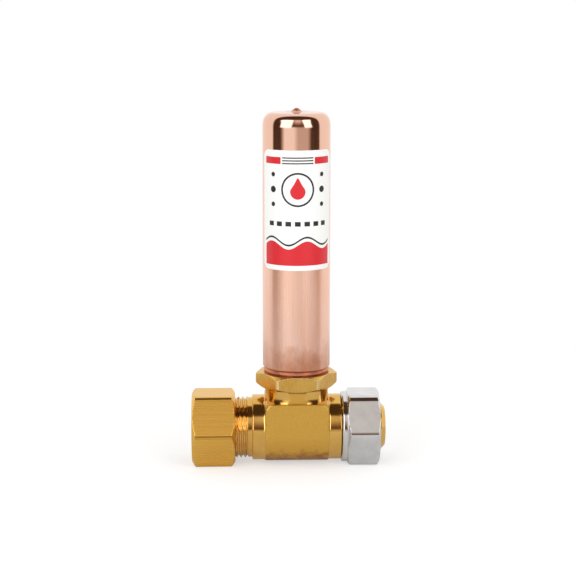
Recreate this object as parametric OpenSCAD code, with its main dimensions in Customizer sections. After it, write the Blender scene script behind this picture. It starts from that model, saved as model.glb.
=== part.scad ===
// Water hammer arrestor on a compression tee, for a pipe of 5/8 in outside diameter.
// A sealed copper cylinder holds a piston on a cushion of gas. The cylinder is rolled onto a
// hexagonal adapter, which is screwed into a brass tee between the supply pipe and a stop valve.
// The tee lies along X, the cylinder stands along Z, and the part stands on the nuts' lower flats.

/* [Cylinder] */
// Outside diameter of the copper cylinder
cylinder_d = 22.2; // [20:0.1:26]
// Wall thickness of the cylinder
cylinder_wall = 0.9; // [0.6:0.05:1.3]
// Length of the cylinder from its rolled foot to its flat top
cylinder_l = 85.6; // [75:0.1:120]
// Radius of the shoulder at the closed top
shoulder_r = 3.5; // [2:0.1:5]
// Diameter of the closing tip at its base
tip_d = 3.8; // [2.4:0.1:6]
// Height of the closing tip
tip_h = 1.3; // [1.2:0.1:3]
// Radius of the rounded end of the closing tip
tip_r = 0.6; // [0.3:0.05:0.8]
// How far the foot of the cylinder is rolled inwards
roll_depth = 0.6; // [0.3:0.05:0.9]
// Height of the rolled foot, up to the full diameter
roll_h = 2; // [1.6:0.1:4]
// Height of the straight rim at the very end of the rolled foot
roll_rim_h = 0.5; // [0.3:0.1:1.2]

/* [Label] */
// Height of the label
label_h = 38.8; // [20:0.1:45]
// Arc that the label covers, in degrees
label_arc = 140; // [90:1:200]
// Distance of the label's upper edge from the flat top of the cylinder
label_drop = 11.4; // [6:0.1:25]
// Thickness of the label
label_t = 0.1; // [0.05:0.01:0.3]
// Radius of the label's corners
label_corner = 2.8; // [0.5:0.1:4]

/* [Piston] */
// Length of the piston
piston_l = 15; // [13:0.1:20]
// Running clearance between the piston and the cylinder, all round
piston_gap = 0.06; // [0.02:0.01:0.1]
// Wall of the piston round its gas pocket
piston_wall = 3.6; // [3:0.1:5]
// Thickness of the piston's closed lower end
piston_floor = 4.5; // [2:0.1:6]
// Section diameter of the two piston seals
piston_seal_d = 2; // [1.6:0.05:2.2]
// Distance of each piston seal's middle from the nearer end of the piston
piston_seal_inset = 3.2; // [2.4:0.1:4]

/* [Adapter] */
// How far the flats of the hexagonal collar stand out past the cylinder
collar_step = 0.8; // [0.2:0.05:2]
// Height of the hexagonal collar
collar_h = 4.9; // [3:0.1:8]
// Length of the bevel at the ends of the collar
collar_bevel = 1; // [0.2:0.05:1.2]
// Height of the stem that holds the cylinder, above the collar
stem_l = 9.8; // [8.5:0.1:16]
// Section diameter of the seal between the stem and the cylinder
stem_seal_d = 1.8; // [1.2:0.05:2]
// Distance of the stem seal's middle from the top of the stem
stem_seal_inset = 3; // [2:0.1:4]
// Diameter of the screwed end that goes into the tee
screw_d = 15.8; // [13:0.1:17]
// Length of the screwed end
screw_l = 5.6; // [4:0.1:6]

/* [Tee] */
// Width of the body along the run, and of the square neck above it
body_w = 20.9; // [20:0.1:24]
// Height of the body's shoulder above the run's axis
body_top = 10.2; // [9:0.1:13]
// How far the body stands out past the hubs, in front, behind and below
belly_step = 0.35; // [0.1:0.05:0.9]
// How far the body's upper corners are turned down
corner_drop = 2; // [0.5:0.1:3]
// How far in from each corner that cut starts, along the shoulder's edge
corner_inset = 1.85; // [0.5:0.05:3]
// Height of the neck under the collar
neck_h = 4.3; // [3:0.1:8]
// Diameter to which the neck's corners are turned, at its ends
neck_d = 21.8; // [21:0.1:24]
// How much smaller the neck is at its waist, on the diameter
neck_waist = 0.4; // [0.1:0.05:1]
// How far the two round hubs stand out past the thread
hub_step = 0.65; // [0.2:0.05:0.8]
// Length of each hub outside the body
hub_l = 4.3; // [2:0.1:8]
// Bore of the water's way through the tee and the adapter
water_d = 10.4; // [8:0.1:11]

/* [Pipe end] */
// Outside diameter of the pipe, and of the tee's own stub
pipe_d = 15.875; // [15:0.005:16.2]
// Clearance of the pipe in its socket, all round
pipe_gap = 0.06; // [0.02:0.01:0.1]
// Depth of the pipe's socket from the end of the thread
socket_l = 10; // [8:0.1:12]
// Thickness of the threaded end outside the pipe, to the crest of the thread
thread_wall = 2.31; // [2.2:0.01:3]
// Pitch of the thread
thread_pitch = 1.411; // [1:0.001:2]
// Depth of the thread
thread_depth = 0.75; // [0.4:0.05:0.8]
// Length of the threaded end with its plain run-out
thread_l = 10.75; // [9:0.05:14]
// Length of the plain run-out beside the hub
relief_l = 1.5; // [0.5:0.1:3]
// How far the plain run-out lies below the crest of the thread
relief_depth = 0.25; // [0.1:0.05:0.7]

/* [Stub end] */
// Length of the stub from the hub to its tip
stub_l = 14.7; // [14:0.1:20]
// Width of the cone on the tip of the stub
stub_bevel = 1.4; // [0.5:0.1:2]

/* [Sleeves] */
// Length of a compression sleeve
sleeve_l = 9.3; // [7:0.1:10]
// Wall thickness of a sleeve
sleeve_wall = 0.9; // [0.7:0.05:1.1]
// Width of the flat at each end of a sleeve
sleeve_land = 0.4; // [0.2:0.05:0.6]
// Length of the long taper, towards the seat
sleeve_taper = 1.6; // [1:0.1:2.5]
// How far the pipe's sleeve reaches into the mouth of the thread
sleeve_entry = 2.2; // [1:0.1:3]

/* [Nuts] */
// Thickness of a nut outside the thread, at the middle of a flat
nut_wall = 1.65; // [1.3:0.05:3]
// Length of the brass nut on the pipe's end
pipe_nut_l = 14.45; // [13:0.05:18]
// Length of the plated nut on the stub
valve_nut_l = 12.55; // [12:0.05:14]
// How far the plated nut's round collar lies inside the flats
nut_collar_step = 0.1; // [0:0.05:0.6]
// Length of the plated nut's round collar
nut_collar_l = 1.9; // [1:0.1:3]
// Radius of the collar's outer edge
nut_collar_r = 0.7; // [0.2:0.1:0.9]
// Thickness of a nut's end round the pipe
nut_end_t = 1.9; // [1.5:0.1:4]
// Clearance of the pipe in a nut's end, all round
nut_hole_gap = 0.16; // [0.08:0.01:0.3]
// Length of the bevel at the ends of the brass nut's hexagon
pipe_nut_bevel = 1.35; // [0.3:0.05:1.6]
// Length of the bevel at the ends of the plated nut's hexagon
valve_nut_bevel = 1; // [0.3:0.05:1.6]
// Gap between the plated nut and the hub
nut_stand = 0.15; // [0.1:0.05:1]

/* [Edges and fits] */
// Bevel on the ends of turned and moulded pieces
edge = 0.5; // [0.2:0.05:0.8]
// Room under the end of the adapter's screw
screw_room = 0.4; // [0.2:0.1:1]
// Clearance of screwed threads, all round
screw_gap = 0.1; // [0.05:0.01:0.12]
// Gap between a cone and its seat
seat_gap = 0.05; // [0.03:0.01:0.1]
// Clearance of pressed and rolled joints, all round
press_gap = 0.03; // [0.01:0.01:0.06]
// Room beside a seal in its groove
groove_room = 0.2; // [0.05:0.05:0.4]

/* [Hidden] */
$fn = 96;
far = 300;
over = 1;
eps = 0.01;

// Widths that follow from the pipe and the cylinder
thread_d = pipe_d + 2 * thread_wall;
relief_d = thread_d - 2 * relief_depth;
hub_d = thread_d + 2 * hub_step;
belly_d = hub_d + 2 * belly_step;
nut_af = thread_d + 2 * nut_wall;
nut_collar_d = nut_af - 2 * nut_collar_step;
collar_af = cylinder_d + 2 * collar_step;

// Radii of the round pieces
cylinder_r = cylinder_d / 2;
bore_r = cylinder_r - cylinder_wall;
pipe_r = pipe_d / 2;
socket_r = pipe_r + pipe_gap;
nut_hole_r = pipe_r + nut_hole_gap;
nut_thread_r = thread_d / 2 + screw_gap;
thread_root_r = thread_d / 2 - thread_depth;
sleeve_r = socket_r + sleeve_wall;
sleeve_end_r = socket_r + sleeve_land;
screw_r = screw_d / 2;
water_r = water_d / 2;

// Heights above the run's axis
neck_top = body_top + neck_h;
collar_top = neck_top + collar_h;
stem_top = collar_top + stem_l;
screw_low = neck_top - screw_l;
label_low = collar_top + cylinder_l - label_drop - label_h;

// Distances from the branch's axis, outwards along the run
hub_x = body_w / 2 + hub_l;
spigot_x = hub_x + thread_l;
stop_x = spigot_x - socket_l;
sleeve_in_x = spigot_x - sleeve_entry;
sleeve_out_x = sleeve_in_x + sleeve_l;
nut_cone_inset = sleeve_end_r + seat_gap - nut_hole_r;
pipe_nut_out_x = sleeve_out_x + nut_cone_inset + nut_end_t;
pipe_nut_in_x = pipe_nut_out_x - pipe_nut_l;
stub_x = hub_x + stub_l;
valve_nut_x = hub_x + nut_stand;
valve_sleeve_x = valve_nut_x + nut_end_t + nut_cone_inset;

// Where the run's and the branch's axes lie in the part's own frame
branch_x = (pipe_nut_out_x - stub_x) / 2;
run_z = nut_af / 2;

copper = "#d99b80";
brass = "#c9983c";
chrome = "#c9c8c6";
white = "#f5f5f3";
acetal = "#e6e3da";
rubber = "#222222";

// Moves a piece from the crossing of the two axes to its place in the part
module placed() {
    translate([branch_x, 0, run_z])
        children();
}

// Lays a piece that was made along Z out along +X
module along_run() {
    rotate([0, 90, 0])
        children();
}

// A ring of round section, made about Z
module seal(ring_r, section_d) {
    rotate_extrude()
        translate([ring_r, 0])
            circle(d = section_d, $fn = 32);
}

// A hexagonal bar along Z with a cone cut round each end, one corner towards +X
module hex_bar(af, length, bevel) {
    corner_r = af / sqrt(3);
    intersection() {
        cylinder(r = corner_r, h = length, $fn = 6);
        rotate_extrude()
            polygon([
                [0, 0],
                [corner_r - bevel * sqrt(3), 0],
                [corner_r, bevel],
                [corner_r, length - bevel],
                [corner_r - bevel * sqrt(3), length],
                [0, length]
            ]);
    }
}

// The inside of a nut along Z, from its end wall: pipe hole, cone for the sleeve, threaded bore and mouth
module nut_bore(length) {
    mouth = thread_depth + screw_gap;
    cone_l = nut_thread_r - nut_hole_r;
    rotate_extrude()
        polygon([
            [0, -over],
            [nut_hole_r, -over],
            [nut_hole_r, nut_end_t],
            [nut_thread_r, nut_end_t + cone_l],
            [nut_thread_r, length - mouth / 2],
            [nut_thread_r + mouth / 2, length],
            [nut_thread_r + mouth / 2, length + over],
            [0, length + over]
        ]);
}

// A compression sleeve along Z, from its short taper to its long one
module sleeve() {
    short = sleeve_r - sleeve_end_r;
    color(brass)
        rotate_extrude()
            polygon([
                [socket_r, 0],
                [sleeve_end_r, 0],
                [sleeve_r, short],
                [sleeve_r, sleeve_l - sleeve_taper],
                [sleeve_end_r, sleeve_l],
                [socket_r, sleeve_l]
            ]);
}

// Half section of the closed top of the cylinder, filled to the axis
module capped_half(r, length, round_r) {
    square([r, length - round_r]);
    square([r - round_r, length]);
    translate([r - round_r, length - round_r])
        circle(r = round_r);
}

// The copper cylinder: drawn tube, closed at the top with a tip, rolled in at the foot
module cylinder_shell() {
    rim_r = cylinder_r - roll_depth;
    rotate_extrude()
        difference() {
            capped_half(cylinder_r, cylinder_l, shoulder_r);
            capped_half(bore_r, cylinder_l - cylinder_wall, shoulder_r - cylinder_wall);
            square([cylinder_r + over, roll_h]);
        }
    rotate_extrude()
        polygon([
            [rim_r - cylinder_wall, 0],
            [rim_r, 0],
            [rim_r, roll_rim_h],
            [cylinder_r, roll_h],
            [bore_r, roll_h],
            [rim_r - cylinder_wall, roll_rim_h]
        ]);
    translate([0, 0, cylinder_l]) {
        translate([0, 0, -cylinder_wall / 2])
            cylinder(r = tip_d / 2, h = cylinder_wall / 2);
        cylinder(r1 = tip_d / 2, r2 = tip_r, h = tip_h - tip_r);
        translate([0, 0, tip_h - tip_r])
            sphere(r = tip_r);
    }
}

module copper_cylinder() {
    color(copper)
        placed()
            translate([0, 0, collar_top])
                cylinder_shell();
}

// What is cut from one corner of the label to leave it round
module label_corner_cut(side, up) {
    inset_angle = label_corner / cylinder_r * 180 / PI;
    middle_z = up > 0 ? label_h - label_corner : label_corner;
    rotate([0, 0, -90 + side * (label_arc / 2 - inset_angle)])
        translate([cylinder_r, 0, middle_z])
            rotate([0, 90, 0])
                difference() {
                    translate([up > 0 ? -2 * label_corner : 0, side > 0 ? 0 : -2 * label_corner, -over])
                        cube([2 * label_corner, 2 * label_corner, 2 * over]);
                    cylinder(r = label_corner, h = 4 * over, center = true);
                }
}

// The printed label on the front of the cylinder
module label() {
    color(white)
        placed()
            translate([0, 0, label_low])
                difference() {
                    rotate([0, 0, -90 - label_arc / 2])
                        rotate_extrude(angle = label_arc)
                            translate([cylinder_r + press_gap, 0])
                                square([label_t, label_h]);
                    for (side = [-1, 1], up = [-1, 1])
                        label_corner_cut(side, up);
                }
}

// The piston, a cup open to the gas above it, with a groove for each seal
module piston() {
    piston_r = bore_r - piston_gap;
    groove_r = bore_r - piston_seal_d - press_gap;
    groove_h = piston_seal_d + 2 * groove_room;
    color(acetal)
        placed()
            translate([0, 0, stem_top])
                rotate_extrude()
                    difference() {
                        polygon([
                            [0, 0],
                            [piston_r - edge, 0],
                            [piston_r, edge],
                            [piston_r, piston_l - edge],
                            [piston_r - edge, piston_l],
                            [0, piston_l]
                        ]);
                        translate([0, piston_floor])
                            square([piston_r - piston_wall, piston_l]);
                        for (z = [piston_seal_inset, piston_l - piston_seal_inset])
                            translate([groove_r, z - groove_h / 2])
                                square([piston_seal_d + over, groove_h]);
                    }
}

module piston_seal(height) {
    color(rubber)
        placed()
            translate([0, 0, stem_top + height])
                seal(bore_r - piston_seal_d / 2 - press_gap / 2, piston_seal_d);
}

// The adapter: hexagonal collar, screwed end below, grooved stem for the cylinder above, bored through
module hex_adapter() {
    stem_r = bore_r - press_gap;
    roll_r = cylinder_r - roll_depth - cylinder_wall - press_gap;
    roll_top = roll_h + groove_room;
    seal_r = bore_r - stem_seal_d - press_gap;
    seal_low = stem_l - stem_seal_inset - stem_seal_d / 2 - groove_room;
    seal_h = stem_seal_d + 2 * groove_room;
    color(brass)
        placed()
            difference() {
                union() {
                    translate([0, 0, neck_top])
                        hex_bar(collar_af, collar_h, collar_bevel);
                    translate([0, 0, collar_top])
                        rotate_extrude()
                            polygon([
                                [0, -eps],
                                [roll_r, -eps],
                                [roll_r, roll_top],
                                [stem_r, roll_top],
                                [stem_r, seal_low],
                                [seal_r, seal_low],
                                [seal_r, seal_low + seal_h],
                                [stem_r, seal_low + seal_h],
                                [stem_r, stem_l - edge],
                                [stem_r - edge, stem_l],
                                [0, stem_l]
                            ]);
                    translate([0, 0, screw_low])
                        cylinder(r1 = screw_r - edge, r2 = screw_r, h = edge);
                    translate([0, 0, screw_low + edge])
                        cylinder(r = screw_r, h = screw_l - edge + eps);
                }
                translate([0, 0, screw_low - over])
                    cylinder(r = water_r, h = far);
            }
}

module adapter_seal() {
    color(rubber)
        placed()
            translate([0, 0, stem_top - stem_seal_inset])
                seal(bore_r - stem_seal_d / 2 - press_gap / 2, stem_seal_d);
}

// The body: flat front and back that run into a round underside, with its upper corners turned down
module square_body() {
    side = body_w / 2;
    depth = belly_d / 2;
    corner_r = norm([side, depth]);
    start_r = norm([side - corner_inset, depth]);
    slope = corner_drop / (corner_r - start_r);
    height = depth + body_top;
    intersection() {
        union() {
            translate([-side, 0, 0])
                along_run()
                    cylinder(r = depth, h = body_w);
            translate([-side, -depth, 0])
                cube([body_w, belly_d, body_top]);
        }
        translate([0, 0, -depth])
            cylinder(r1 = start_r + height / slope, r2 = start_r, h = height);
    }
}

// The neck: square, with its corners turned to a shallow waist
module neck() {
    end_r = neck_d / 2;
    waist_r = end_r - neck_waist / 2;
    hollow_r = (pow(neck_h / 2, 2) + pow(neck_waist / 2, 2)) / neck_waist;
    intersection() {
        translate([-body_w / 2, -body_w / 2, body_top - eps])
            cube([body_w, body_w, neck_h + eps]);
        translate([0, 0, body_top - eps])
            rotate_extrude()
                difference() {
                    square([end_r, neck_h + eps]);
                    translate([waist_r + hollow_r, neck_h / 2])
                        circle(r = hollow_r);
                }
    }
}

// The male thread along Z, from the hub to its bevelled end
module male_thread() {
    crest_r = thread_d / 2;
    flat = thread_pitch / 8;
    turns = floor((thread_l - relief_l) / thread_pitch);
    rotate_extrude()
        polygon(concat(
            [[0, -eps], [relief_d / 2, -eps], [relief_d / 2, relief_l]],
            [for (i = [0 : turns - 1], p = [0 : 3])
                let (z = relief_l + i * thread_pitch)
                p == 0 ? [thread_root_r, z + flat] :
                p == 1 ? [crest_r, z + thread_pitch / 2 - flat / 2] :
                p == 2 ? [crest_r, z + thread_pitch / 2 + flat / 2] :
                [thread_root_r, z + thread_pitch - flat]],
            [[thread_root_r, thread_l], [0, thread_l]]
        ));
}

// The way into the pipe's end along Z, from the stop outwards: socket, and cone seat for the sleeve
module pipe_socket() {
    slope = (sleeve_r - sleeve_end_r) / sleeve_taper;
    mouth_r = sleeve_end_r + slope * sleeve_entry + seat_gap;
    cone_l = (mouth_r - socket_r) / slope;
    cylinder(r = socket_r, h = socket_l + over);
    translate([0, 0, socket_l - cone_l])
        cylinder(r1 = socket_r, r2 = mouth_r, h = cone_l);
    translate([0, 0, socket_l - eps])
        cylinder(r = mouth_r, h = over);
}

// The forged brass tee, with the pipe's threaded end on the left and the plain stub on the right
module tee_body() {
    tip_r = pipe_r - stub_bevel;
    color(brass)
        placed()
            difference() {
                union() {
                    square_body();
                    neck();
                    translate([-hub_x, 0, 0])
                        along_run()
                            cylinder(d = hub_d, h = 2 * hub_x);
                    mirror([1, 0, 0])
                        translate([hub_x, 0, 0])
                            along_run()
                                male_thread();
                    translate([hub_x - eps, 0, 0])
                        along_run() {
                            cylinder(r = pipe_r, h = stub_l - stub_bevel + eps);
                            translate([0, 0, stub_l - stub_bevel + eps])
                                cylinder(r1 = pipe_r, r2 = tip_r, h = stub_bevel);
                        }
                }
                mirror([1, 0, 0])
                    translate([stop_x, 0, 0])
                        along_run()
                            pipe_socket();
                translate([-spigot_x, 0, 0])
                    along_run()
                        cylinder(r = water_r, h = far);
                translate([0, 0, screw_low - screw_room])
                    cylinder(r = screw_r + screw_gap, h = far);
                cylinder(r = water_r, h = neck_top);
            }
}

// The brass nut that closes the sleeve onto the supply pipe
module pipe_nut() {
    color(brass)
        placed()
            mirror([1, 0, 0])
                translate([pipe_nut_out_x, 0, 0])
                    mirror([1, 0, 0])
                        along_run()
                            difference() {
                                rotate([0, 0, 30])
                                    hex_bar(nut_af, pipe_nut_l, pipe_nut_bevel);
                                nut_bore(pipe_nut_l);
                            }
}

module pipe_sleeve() {
    placed()
        mirror([1, 0, 0])
            translate([sleeve_out_x, 0, 0])
                mirror([1, 0, 0])
                    along_run()
                        sleeve();
}

// The plated nut on the stub, with a round collar at its closed end
module valve_nut() {
    collar_r = nut_collar_d / 2;
    color(chrome)
        placed()
            translate([valve_nut_x, 0, 0])
                along_run()
                    difference() {
                        union() {
                            rotate_extrude() {
                                square([collar_r - nut_collar_r, nut_collar_l + valve_nut_bevel]);
                                translate([0, nut_collar_r])
                                    square([collar_r, nut_collar_l - nut_collar_r]);
                                translate([collar_r - nut_collar_r, nut_collar_r])
                                    circle(r = nut_collar_r);
                            }
                            translate([0, 0, nut_collar_l])
                                rotate([0, 0, 30])
                                    hex_bar(nut_af, valve_nut_l - nut_collar_l, valve_nut_bevel);
                        }
                        nut_bore(valve_nut_l);
                    }
}

module valve_sleeve() {
    placed()
        translate([valve_sleeve_x, 0, 0])
            along_run()
                sleeve();
}

copper_cylinder();  // cylinder
label();
piston();
piston_seal(piston_l - piston_seal_inset);  // piston_seal_upper
piston_seal(piston_seal_inset);  // piston_seal_lower
hex_adapter();
adapter_seal();
tee_body();
pipe_nut();
pipe_sleeve();
valve_nut();
valve_sleeve();
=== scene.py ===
import bmesh
import bpy
import numpy as np
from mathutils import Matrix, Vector


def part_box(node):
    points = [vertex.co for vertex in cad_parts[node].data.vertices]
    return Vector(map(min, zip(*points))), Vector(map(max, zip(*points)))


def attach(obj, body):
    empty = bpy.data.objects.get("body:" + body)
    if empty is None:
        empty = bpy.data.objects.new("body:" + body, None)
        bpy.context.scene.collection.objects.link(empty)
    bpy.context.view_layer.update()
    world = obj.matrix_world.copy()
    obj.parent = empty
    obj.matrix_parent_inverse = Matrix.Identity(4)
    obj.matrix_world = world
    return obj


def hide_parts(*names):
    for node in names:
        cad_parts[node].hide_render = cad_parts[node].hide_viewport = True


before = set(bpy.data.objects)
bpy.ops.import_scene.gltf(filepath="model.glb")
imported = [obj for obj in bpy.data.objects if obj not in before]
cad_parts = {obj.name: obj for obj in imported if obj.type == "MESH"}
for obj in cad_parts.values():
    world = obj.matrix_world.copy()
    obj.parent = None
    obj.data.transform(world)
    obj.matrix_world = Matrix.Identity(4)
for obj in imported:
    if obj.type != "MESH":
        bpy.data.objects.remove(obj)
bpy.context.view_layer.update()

# Tee body
# A brass forging, tumbled to a satin, with its ends turned bright on a lathe: a male thread
# for the pipe's nut on the left and a plain stub on the right. It is bored through for the water.
mm = 0.001
tee_low, tee_high = (np.array(corner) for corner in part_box("tee_body"))
nut_low, nut_high = (np.array(corner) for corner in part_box("pipe_nut"))
tube_low, tube_high = (np.array(corner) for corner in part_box("cylinder"))
run_z = (nut_low[2] + nut_high[2]) / 2
branch_x = (tube_low[0] + tube_high[0]) / 2

body_half = 10.45 * mm
body_depth = (tee_high[1] - tee_low[1]) / 2
body_top = 10.2 * mm
body_edge_r = 0.45 * mm
body_softness = 0.3 * mm
corner_inset = 1.85 * mm
corner_drop = 2 * mm
neck_top = tee_high[2] - run_z
neck_end_r = 10.9 * mm
neck_waist = 0.2 * mm
neck_softness = 0.12 * mm

spigot_x = tee_low[0] - branch_x
stub_x = tee_high[0] - branch_x
hub_x = 14.75 * mm
hub_r = body_depth - 0.35 * mm
hub_edge_r = 0.4 * mm
cove_l = 0.9 * mm
cove_h = 0.3 * mm
pipe_r = 7.9375 * mm
stub_bevel = 1.4 * mm
thread_crest_r = 10.2475 * mm
thread_depth = 0.75 * mm
thread_pitch = 1.411 * mm
thread_bevel = 0.75 * mm
thread_flat = 0.125
relief_l = 1.5 * mm
relief_r = thread_crest_r - 0.25 * mm
socket_r = 7.9975 * mm
socket_l = 10 * mm
seat_l = 3.64 * mm
seat_r = 9.135 * mm
water_r = 5.2 * mm
port_r = 8 * mm
port_floor = 8.5 * mm
fine_from = 7.8 * mm
beyond = 1 * mm
join_gap = 1e-7
tee_sharp = np.radians(32)
sharp = np.radians(40)


def srgb(code):
    """A colour written as six hex digits, as the linear red, green, blue and alpha that a shader takes."""
    value = np.array([int(code[i:i + 2], 16) for i in (0, 2, 4)]) / 255
    linear = np.where(value <= 0.04045, value / 12.92, ((value + 0.055) / 1.055) ** 2.4)
    return (*linear, 1.0)


def rounded(corners, steps=6):
    """An outline through corners (along, out, radius). Where the radius isn't zero, the corner is
    an arc that touches both its sides; it swings from one touching point to the other about a
    middle that lies on the line halving the corner."""
    corners = np.array(corners, float)
    points = corners[:, :2]
    line = [points[:1]]
    swing = np.linspace(0, 1, steps + 1)[:, None]
    for before, here, after, radius in zip(points, points[1:], points[2:], corners[1:, 2]):
        back = (before - here) / np.linalg.norm(before - here)
        on = (after - here) / np.linalg.norm(after - here)
        inner = np.arccos(np.clip(back @ on, -1, 1))
        if radius == 0 or np.pi - inner < 0.01:
            line.append(here[None])
            continue
        middle = here + (back + on) / np.linalg.norm(back + on) * radius / np.sin(inner / 2)
        first = here + back * radius / np.tan(inner / 2) - middle
        last = here + on * radius / np.tan(inner / 2) - middle
        turn = np.pi - inner
        arc = np.sin((1 - swing) * turn) * first + np.sin(swing * turn) * last
        line.append(middle + arc / np.sin(turn))
    line.append(points[-1:])
    return np.concatenate(line)


def divided(outline, longest):
    """The outline with every stretch that is longer than a given length cut into equal shorter ones."""
    run = np.concatenate([[0], np.cumsum(np.linalg.norm(np.diff(outline, axis=0), axis=1))])
    cuts = np.maximum(1, np.ceil(np.diff(run) / longest)).astype(int)
    knots = np.interp(np.arange(cuts.sum() + 1), np.concatenate([[0], np.cumsum(cuts)]), run)
    return np.stack([np.interp(knots, run, outline[:, axis]) for axis in (0, 1)], axis=1)


def soft_min(a, b, softness):
    """The lesser of two distances, with the crease where they cross rounded off: within the
    softness of each other, both give way to a parabola that touches them."""
    overlap = np.clip(softness - np.abs(a - b), 0, None) / softness
    return np.minimum(a, b) - overlap**2 * softness / 4


def about_run(angle, along, out):
    """Points at a distance along the run's axis and a distance out from it, turned by angle from
    straight up."""
    angle, along, out = np.broadcast_arrays(angle, along, out)
    return np.stack([branch_x + along, out * np.sin(angle), run_z + out * np.cos(angle)], axis=-1)


def about_branch(angle, height, out):
    """Points at a height above the run's axis and a distance out from the branch's axis, turned by
    angle from +X."""
    angle, height, out = np.broadcast_arrays(angle, height, out)
    return np.stack([branch_x + out * np.cos(angle), out * np.sin(angle), run_z + height], axis=-1)


def closed_piece(name, points, quads):
    """An object with a smooth closed mesh. Points that meet become one, faces without an area go,
    and the others are turned to face outwards."""
    mesh = bpy.data.meshes.new(name)
    mesh.from_pydata(points, [], quads)
    work = bmesh.new()
    work.from_mesh(mesh)
    bmesh.ops.remove_doubles(work, verts=work.verts, dist=join_gap)
    bmesh.ops.dissolve_degenerate(work, edges=work.edges, dist=join_gap)
    bmesh.ops.recalc_face_normals(work, faces=work.faces)
    work.to_mesh(mesh)
    work.free()
    mesh.shade_smooth()
    piece = bpy.data.objects.new(name, mesh)
    bpy.context.scene.collection.objects.link(piece)
    return piece


def skin(name, points, ring=False):
    """A closed skin over a grid of points. The first parameter always runs round and meets itself;
    with ring set the second does too, and otherwise its two ends close to single points."""
    rounds, stations = points.shape[:2]
    index = np.arange(rounds * stations).reshape(rounds, stations)
    here, beside = index, np.roll(index, -1, axis=0)
    if ring:
        quads = np.stack([here, np.roll(here, -1, axis=1), np.roll(beside, -1, axis=1), beside], axis=-1)
    else:
        quads = np.stack([here[:, :-1], here[:, 1:], beside[:, 1:], beside[:, :-1]], axis=-1)
    return closed_piece(name, points.reshape(-1, 3), quads.reshape(-1, 4))


def combined(piece, others, operation):
    """The piece with other solids added to it, or cut from it, as one closed mesh."""
    for other in others:
        step = piece.modifiers.new(operation, "BOOLEAN")
        step.solver = "MANIFOLD"
        step.operation = operation
        step.object = other
    bpy.context.view_layer.update()
    solid = piece.evaluated_get(bpy.context.evaluated_depsgraph_get())
    mesh = bpy.data.meshes.new_from_object(solid)
    mesh.name = piece.name
    piece.modifiers.clear()
    piece.data = mesh
    for other in others:
        bpy.data.objects.remove(other)


def thread_ridge(angle, along):
    """Height of a right-handed thread as a share of its depth. The place along the axis, in turns
    and moved on by the angle, gives a sawtooth; its flanks rise evenly between a flat root and a
    flat crest, each as wide as a share of a turn."""
    turn = (along - spigot_x) / thread_pitch + angle / (2 * np.pi)
    from_crest = np.abs(2 * (turn % 1) - 1)
    return np.clip((1 - thread_flat - from_crest) / (1 - 2 * thread_flat), 0, 1)


def body_reach(angle, along):
    """Distance from the run's axis to the body's surface. It is the nearest of the flat front or
    back, the shoulder and the cone that turns the upper corners down; below the axis it is round.
    The ends are rounded by the height of a circle's arc."""
    side = body_depth / np.where(np.cos(angle) > 0, np.abs(np.sin(angle)).clip(1e-6), 1)
    rise = np.cos(angle).clip(1e-6)
    corner_r = np.hypot(body_half, body_depth)
    start_r = np.hypot(body_half - corner_inset, body_depth)
    slope = corner_drop / (corner_r - start_r)
    apex = start_r + body_top / slope
    a = np.sin(angle) ** 2 - (rise / slope) ** 2
    b = 2 * apex * rise / slope
    c = along**2 - apex**2
    cone = -2 * c / (b + np.sqrt(b**2 - 4 * a * c))
    reach = soft_min(soft_min(side, body_top / rise, body_softness), cone, body_softness)
    past = (np.abs(along) - (body_half - body_edge_r)).clip(0)
    return reach - body_edge_r + np.sqrt((body_edge_r**2 - past**2).clip(0))


def neck_reach(angle, height):
    """Distance from the branch's axis to the neck: the lesser of a square and a turned waist,
    whose radius dips as a parabola between the two ends of the neck."""
    square = body_half / np.maximum(np.abs(np.cos(angle)), np.abs(np.sin(angle)))
    middle = (body_top + neck_top) / 2
    share = np.clip((height - middle) / (neck_top - middle), -1, 1)
    return soft_min(square, neck_end_r - neck_waist * (1 - share**2), neck_softness)


def finish(name, colour, metallic, roughness):
    """A new material with one Principled shader, and its node tree and shader."""
    material = bpy.data.materials.new(name)
    material.use_nodes = True
    shader = material.node_tree.nodes["Principled BSDF"]
    shader.inputs["Base Color"].default_value = srgb(colour)
    shader.inputs["Metallic"].default_value = metallic
    shader.inputs["Roughness"].default_value = roughness
    return material, material.node_tree, shader


def grain(tree, waves, detail=3.0):
    """Noise with a given number of waves per metre along each axis of the piece, from 0 to 1."""
    place = tree.nodes.new("ShaderNodeTexCoord")
    stretch = tree.nodes.new("ShaderNodeMapping")
    stretch.inputs["Scale"].default_value = waves
    noise = tree.nodes.new("ShaderNodeTexNoise")
    noise.inputs["Scale"].default_value = 1.0
    noise.inputs["Detail"].default_value = detail
    tree.links.new(place.outputs["Object"], stretch.inputs["Vector"])
    tree.links.new(stretch.outputs["Vector"], noise.inputs["Vector"])
    return noise.outputs["Fac"]


def between(tree, share, low, high, start=0.3, end=0.7):
    """A value that goes from low to high as the share goes from start to end."""
    spread = tree.nodes.new("ShaderNodeMapRange")
    spread.inputs["From Min"].default_value = start
    spread.inputs["From Max"].default_value = end
    spread.inputs["To Min"].default_value = low
    spread.inputs["To Max"].default_value = high
    tree.links.new(share, spread.inputs["Value"])
    return spread.outputs["Result"]


def tinted(tree, share, first, second):
    """A colour that goes from the first to the second as the share goes from 0 to 1. Each is six hex
    digits or another colour's socket."""
    mix = tree.nodes.new("ShaderNodeMix")
    mix.data_type = "RGBA"
    for colour, socket in ((first, mix.inputs["A"]), (second, mix.inputs["B"])):
        if isinstance(colour, str):
            socket.default_value = srgb(colour)
        else:
            tree.links.new(colour, socket)
    tree.links.new(share, mix.inputs["Factor"])
    return mix.outputs["Result"]


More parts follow.
